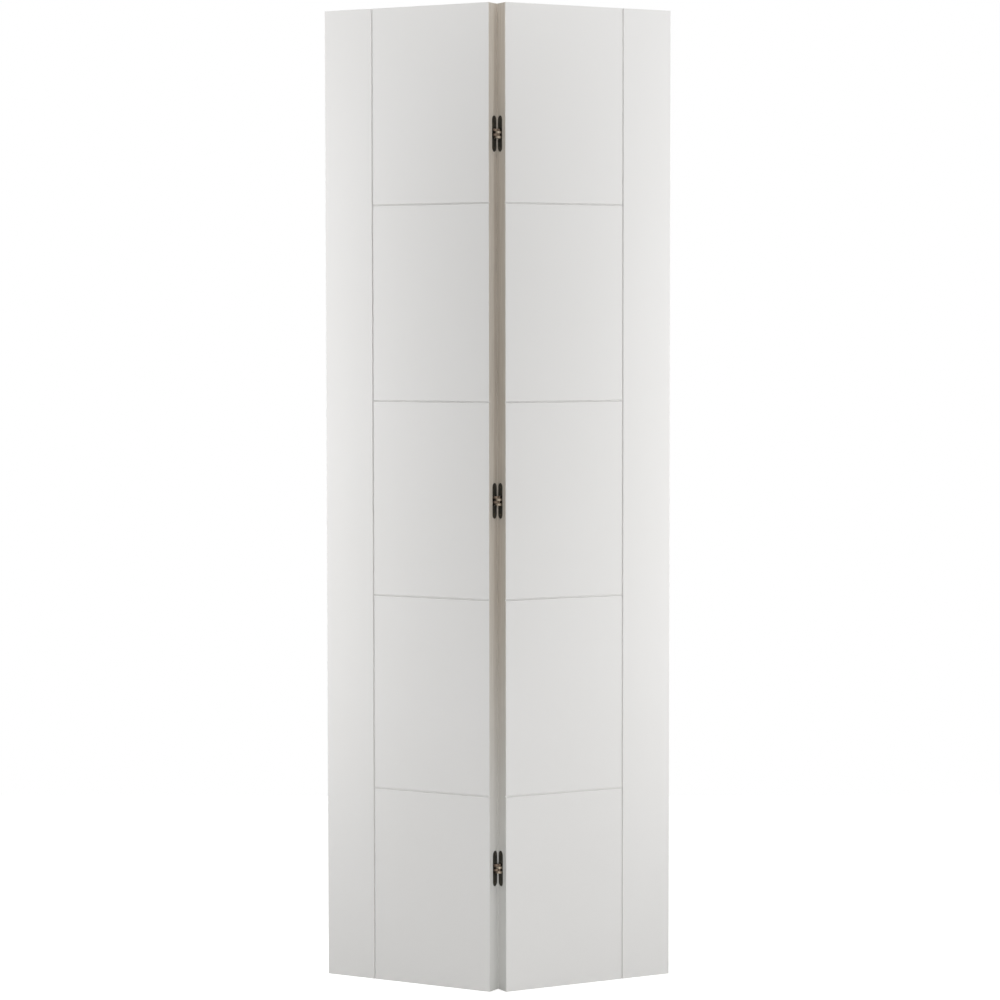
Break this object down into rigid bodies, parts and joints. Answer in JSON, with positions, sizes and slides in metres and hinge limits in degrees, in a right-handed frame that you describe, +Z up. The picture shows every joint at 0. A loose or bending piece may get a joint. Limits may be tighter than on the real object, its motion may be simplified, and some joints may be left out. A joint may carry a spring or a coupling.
{
  "type": "bifold closet door",
  "caption": "Bifold closet door with grooved flush faces, joined at the meeting edges by concealed link hinges, so that it opens flat or folds back to back.",
  "frame": {"origin": "bottom centre of the bounding box in the pictured pose, each leaf turned 28.1 degrees out of the flat plane", "axes": "+Z up the door; the grooved front with the open hinge edges faces -Y; the pivot leaf is on the -X side and the lead leaf on the +X side of the fold"},
  "size_m": [0.7048, 0.2098, 1.981],
  "materials": {
    "painted_face": "fibreboard skin, satin white paint",
    "painted_edge": "softwood, white primed",
    "core_board": "raw chipboard",
    "hinge_bronze": "dark bronze lacquer on die-cast zinc and steel",
    "link_bronze": "bronze plated",
    "pin_steel": "ground steel"
  },
  "bodies": {
    "pivot_leaf": {"pivot_leaf_front_skin": "painted_face", "pivot_leaf_back_skin": "painted_face", "pivot_leaf_hinge_stile": "painted_edge", "pivot_leaf_outer_stile": "painted_edge", "pivot_leaf_top_rail": "painted_edge", "pivot_leaf_bottom_rail": "painted_edge", "pivot_leaf_core": "core_board", "top_hinge_left_body": "hinge_bronze", "top_hinge_left_upper_screw": "hinge_bronze", "top_hinge_left_lower_screw": "hinge_bronze", "top_hinge_left_pivot_pin": "pin_steel", "middle_hinge_left_body": "hinge_bronze", "middle_hinge_left_upper_screw": "hinge_bronze", "middle_hinge_left_lower_screw": "hinge_bronze", "middle_hinge_left_pivot_pin": "pin_steel", "bottom_hinge_left_body": "hinge_bronze", "bottom_hinge_left_upper_screw": "hinge_bronze", "bottom_hinge_left_lower_screw": "hinge_bronze", "bottom_hinge_left_pivot_pin": "pin_steel"},
    "lead_leaf": {"lead_leaf_front_skin": "painted_face", "lead_leaf_back_skin": "painted_face", "lead_leaf_hinge_stile": "painted_edge", "lead_leaf_outer_stile": "painted_edge", "lead_leaf_top_rail": "painted_edge", "lead_leaf_bottom_rail": "painted_edge", "lead_leaf_core": "core_board", "top_hinge_right_body": "hinge_bronze", "top_hinge_right_upper_screw": "hinge_bronze", "top_hinge_right_lower_screw": "hinge_bronze", "top_hinge_right_pivot_pin": "pin_steel", "middle_hinge_right_body": "hinge_bronze", "middle_hinge_right_upper_screw": "hinge_bronze", "middle_hinge_right_lower_screw": "hinge_bronze", "middle_hinge_right_pivot_pin": "pin_steel", "bottom_hinge_right_body": "hinge_bronze", "bottom_hinge_right_upper_screw": "hinge_bronze", "bottom_hinge_right_lower_screw": "hinge_bronze", "bottom_hinge_right_pivot_pin": "pin_steel"},
    "left_arms": {"top_hinge_left_upper_link": "link_bronze", "top_hinge_left_lower_link": "link_bronze", "top_hinge_left_slider_pin": "pin_steel", "top_hinge_centre_pin": "pin_steel", "middle_hinge_left_upper_link": "link_bronze", "middle_hinge_left_lower_link": "link_bronze", "middle_hinge_left_slider_pin": "pin_steel", "middle_hinge_centre_pin": "pin_steel", "bottom_hinge_left_upper_link": "link_bronze", "bottom_hinge_left_lower_link": "link_bronze", "bottom_hinge_left_slider_pin": "pin_steel", "bottom_hinge_centre_pin": "pin_steel"},
    "right_arms": {"top_hinge_right_upper_link": "link_bronze", "top_hinge_right_lower_link": "link_bronze", "top_hinge_right_slider_pin": "pin_steel", "middle_hinge_right_upper_link": "link_bronze", "middle_hinge_right_lower_link": "link_bronze", "middle_hinge_right_slider_pin": "pin_steel", "bottom_hinge_right_upper_link": "link_bronze", "bottom_hinge_right_lower_link": "link_bronze", "bottom_hinge_right_slider_pin": "pin_steel"}
  },
  "joints": [
    {"name": "fold", "type": "hinge", "parent": "pivot_leaf", "child": "lead_leaf", "pos_m": [0, -0.07421, 0.9905], "axis": [0, 0, 1], "range_deg": [-56.2, 118.8]},
    {"name": "left_link_turn", "type": "hinge", "parent": "pivot_leaf", "child": "left_arms", "pos_m": [-0.006, -0.07865, 0.9905], "axis": [0, 0, 1], "range_deg": [-29.8, 63]},
    {"name": "right_link_turn", "type": "hinge", "parent": "lead_leaf", "child": "right_arms", "pos_m": [0.006, -0.07865, 0.9905], "axis": [0, 0, 1], "range_deg": [-63, 29.8]}
  ],
  "couplings": [
    {"joint": "left_link_turn", "follows": "fold", "ratio": 0.53},
    {"joint": "right_link_turn", "follows": "fold", "ratio": -0.53}
  ]
}
